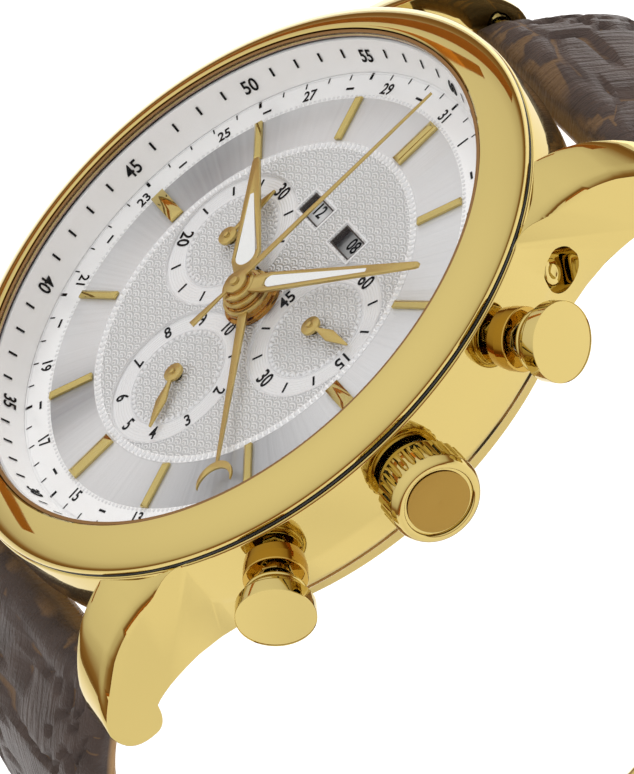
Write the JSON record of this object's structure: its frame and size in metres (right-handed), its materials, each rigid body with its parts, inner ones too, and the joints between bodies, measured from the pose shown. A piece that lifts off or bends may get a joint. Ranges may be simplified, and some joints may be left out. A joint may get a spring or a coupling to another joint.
{
  "type": "chronograph wristwatch",
  "caption": "Round gold-plated chronograph wristwatch with pushers, crown, date pointer, day and month windows and a padded scale-embossed leather strap closed by a pin buckle.",
  "frame": {"origin": "centre of the case back's flat outer face, which rests on the wrist", "axes": "+Z out through the crystal along the hands' central axis, +X to 3 o'clock where the crown is, +Y to 12 o'clock"},
  "size_m": [0.0458, 0.0652, 0.064],
  "materials": {
    "gold": "polished pale yellow gold plating",
    "steel": "satin",
    "dial": "silver-white, stamped and sunray brushed",
    "flange": "silver-white, satin",
    "crystal": "polished, clear",
    "rubber": "matte black",
    "leather": "dark brown, embossed in large scales",
    "hands": "gold plated, polished",
    "brass": "satin",
    "plastic": "moulded",
    "circuit": "green resist"
  },
  "bodies": {
    "watch_case": {"case_body": "gold", "bezel": "gold", "crystal": "crystal", "crystal_gasket": "rubber", "flange_ring": "flange", "dial": "dial", "case_back": "steel", "case_back_gasket": "rubber", "crown_tube": "steel", "start_pusher_tube": "gold", "start_pusher_spring": "steel", "reset_pusher_tube": "gold", "reset_pusher_spring": "steel", "corrector_spring": "steel", "spring_bar_12": "steel", "spring_bar_6": "steel", "strap_buckle_half": "leather", "strap_tail_half": "leather", "buckle_frame": "gold", "buckle_tongue": "gold", "buckle_spring_bar": "steel", "keeper_fixed": "leather", "index_01": "hands", "index_02": "hands", "index_03": "hands", "index_04": "hands", "index_05": "hands", "index_06": "hands", "index_07": "hands", "index_08": "hands", "index_09": "hands", "index_10": "hands", "index_11": "hands", "index_12": "hands", "movement_plate": "brass", "movement_holder": "plastic", "step_motor": "brass", "battery": "steel", "circuit_board": "circuit"},
    "minute_train": {"minute_hand": "hands", "cannon_pinion": "brass"},
    "hour_train": {"hour_hand": "hands", "hour_wheel": "brass"},
    "motion_wheel": {"minute_wheel": "brass"},
    "small_seconds": {"small_seconds_hand": "hands"},
    "chrono_seconds": {"chrono_seconds_hand": "hands"},
    "minute_counter": {"minute_counter_hand": "hands"},
    "hour_counter": {"hour_counter_hand": "hands"},
    "date_train": {"date_hand": "hands", "date_wheel": "brass"},
    "day_ring": {"day_disc": "dial"},
    "month_ring": {"month_disc": "dial"},
    "stem_yoke": {"setting_yoke": "steel"},
    "crown_and_stem": {"crown": "gold", "crown_stem": "steel", "crown_gasket": "rubber"},
    "start_button": {"start_pusher": "gold"},
    "reset_button": {"reset_pusher": "gold"},
    "corrector": {"corrector_button": "gold"},
    "sliding_keeper": {"keeper_free": "leather"}
  },
  "joints": [
    {"name": "minute_turn", "type": "hinge", "parent": "watch_case", "child": "minute_train", "pos_m": [0, 0, 0.0095], "axis": [0, 0, -1], "continuous": true},
    {"name": "hour_turn", "type": "hinge", "parent": "watch_case", "child": "hour_train", "pos_m": [0, 0, 0.0091], "axis": [0, 0, -1], "continuous": true},
    {"name": "minute_wheel_turn", "type": "hinge", "parent": "watch_case", "child": "motion_wheel", "pos_m": [-0.00338, -0.00123, 0.0062], "axis": [0, 0, -1], "continuous": true},
    {"name": "small_seconds_turn", "type": "hinge", "parent": "watch_case", "child": "small_seconds", "pos_m": [0.0064, 0.0015, 0.00825], "axis": [0, 0, -1], "continuous": true},
    {"name": "chrono_seconds_turn", "type": "hinge", "parent": "watch_case", "child": "chrono_seconds", "pos_m": [0, 0, 0.0099], "axis": [0, 0, -1], "continuous": true},
    {"name": "minute_counter_turn", "type": "hinge", "parent": "watch_case", "child": "minute_counter", "pos_m": [-0.0064, 0.0015, 0.00825], "axis": [0, 0, -1], "continuous": true},
    {"name": "hour_counter_turn", "type": "hinge", "parent": "watch_case", "child": "hour_counter", "pos_m": [0, -0.0065, 0.00825], "axis": [0, 0, -1], "continuous": true},
    {"name": "date_turn", "type": "hinge", "parent": "watch_case", "child": "date_train", "pos_m": [0, 0, 0.0087], "axis": [0, 0, -1], "continuous": true},
    {"name": "day_disc_turn", "type": "hinge", "parent": "watch_case", "child": "day_ring", "pos_m": [-0.0044, 0.0093, 0.0073], "axis": [0, 0, -1], "continuous": true},
    {"name": "month_disc_turn", "type": "hinge", "parent": "watch_case", "child": "month_ring", "pos_m": [0.0044, 0.0093, 0.007], "axis": [0, 0, -1], "continuous": true},
    {"name": "crown_pull", "type": "slide", "parent": "watch_case", "child": "stem_yoke", "axis": [1, 0, 0], "range_m": [0, 0.001]},
    {"name": "crown_turn", "type": "hinge", "parent": "stem_yoke", "child": "crown_and_stem", "pos_m": [0.0233, 0, 0.006], "axis": [1, 0, 0], "continuous": true},
    {"name": "start_press", "type": "slide", "parent": "watch_case", "child": "start_button", "axis": [-0.8829, -0.4695, 0], "range_m": [0, 0.0009], "stiffness_N_per_m": 1500, "springref_m": -0.0005, "deforming": ["start_pusher_spring"]},
    {"name": "reset_press", "type": "slide", "parent": "watch_case", "child": "reset_button", "axis": [-0.8829, 0.4695, 0], "range_m": [0, 0.0009], "stiffness_N_per_m": 1500, "springref_m": -0.0005, "deforming": ["reset_pusher_spring"]},
    {"name": "corrector_press", "type": "slide", "parent": "watch_case", "child": "corrector", "axis": [-0.7314, -0.682, 0], "range_m": [0, 0.0008], "stiffness_N_per_m": 600, "springref_m": -0.0005, "deforming": ["corrector_spring"]},
    {"name": "keeper_slide", "type": "slide", "parent": "watch_case", "child": "sliding_keeper", "axis": [0, 0.7193, 0.6947], "range_m": [-0.0015, 0.0015]}
  ],
  "couplings": [
    {"joint": "hour_turn", "follows": "minute_turn", "ratio": 0.083333},
    {"joint": "minute_wheel_turn", "follows": "minute_turn", "ratio": -0.33333},
    {"joint": "small_seconds_turn", "follows": "minute_turn", "ratio": 60},
    {"joint": "minute_counter_turn", "follows": "chrono_seconds_turn", "ratio": 0.033333},
    {"joint": "hour_counter_turn", "follows": "chrono_seconds_turn", "ratio": 0.0016667}
  ]
}
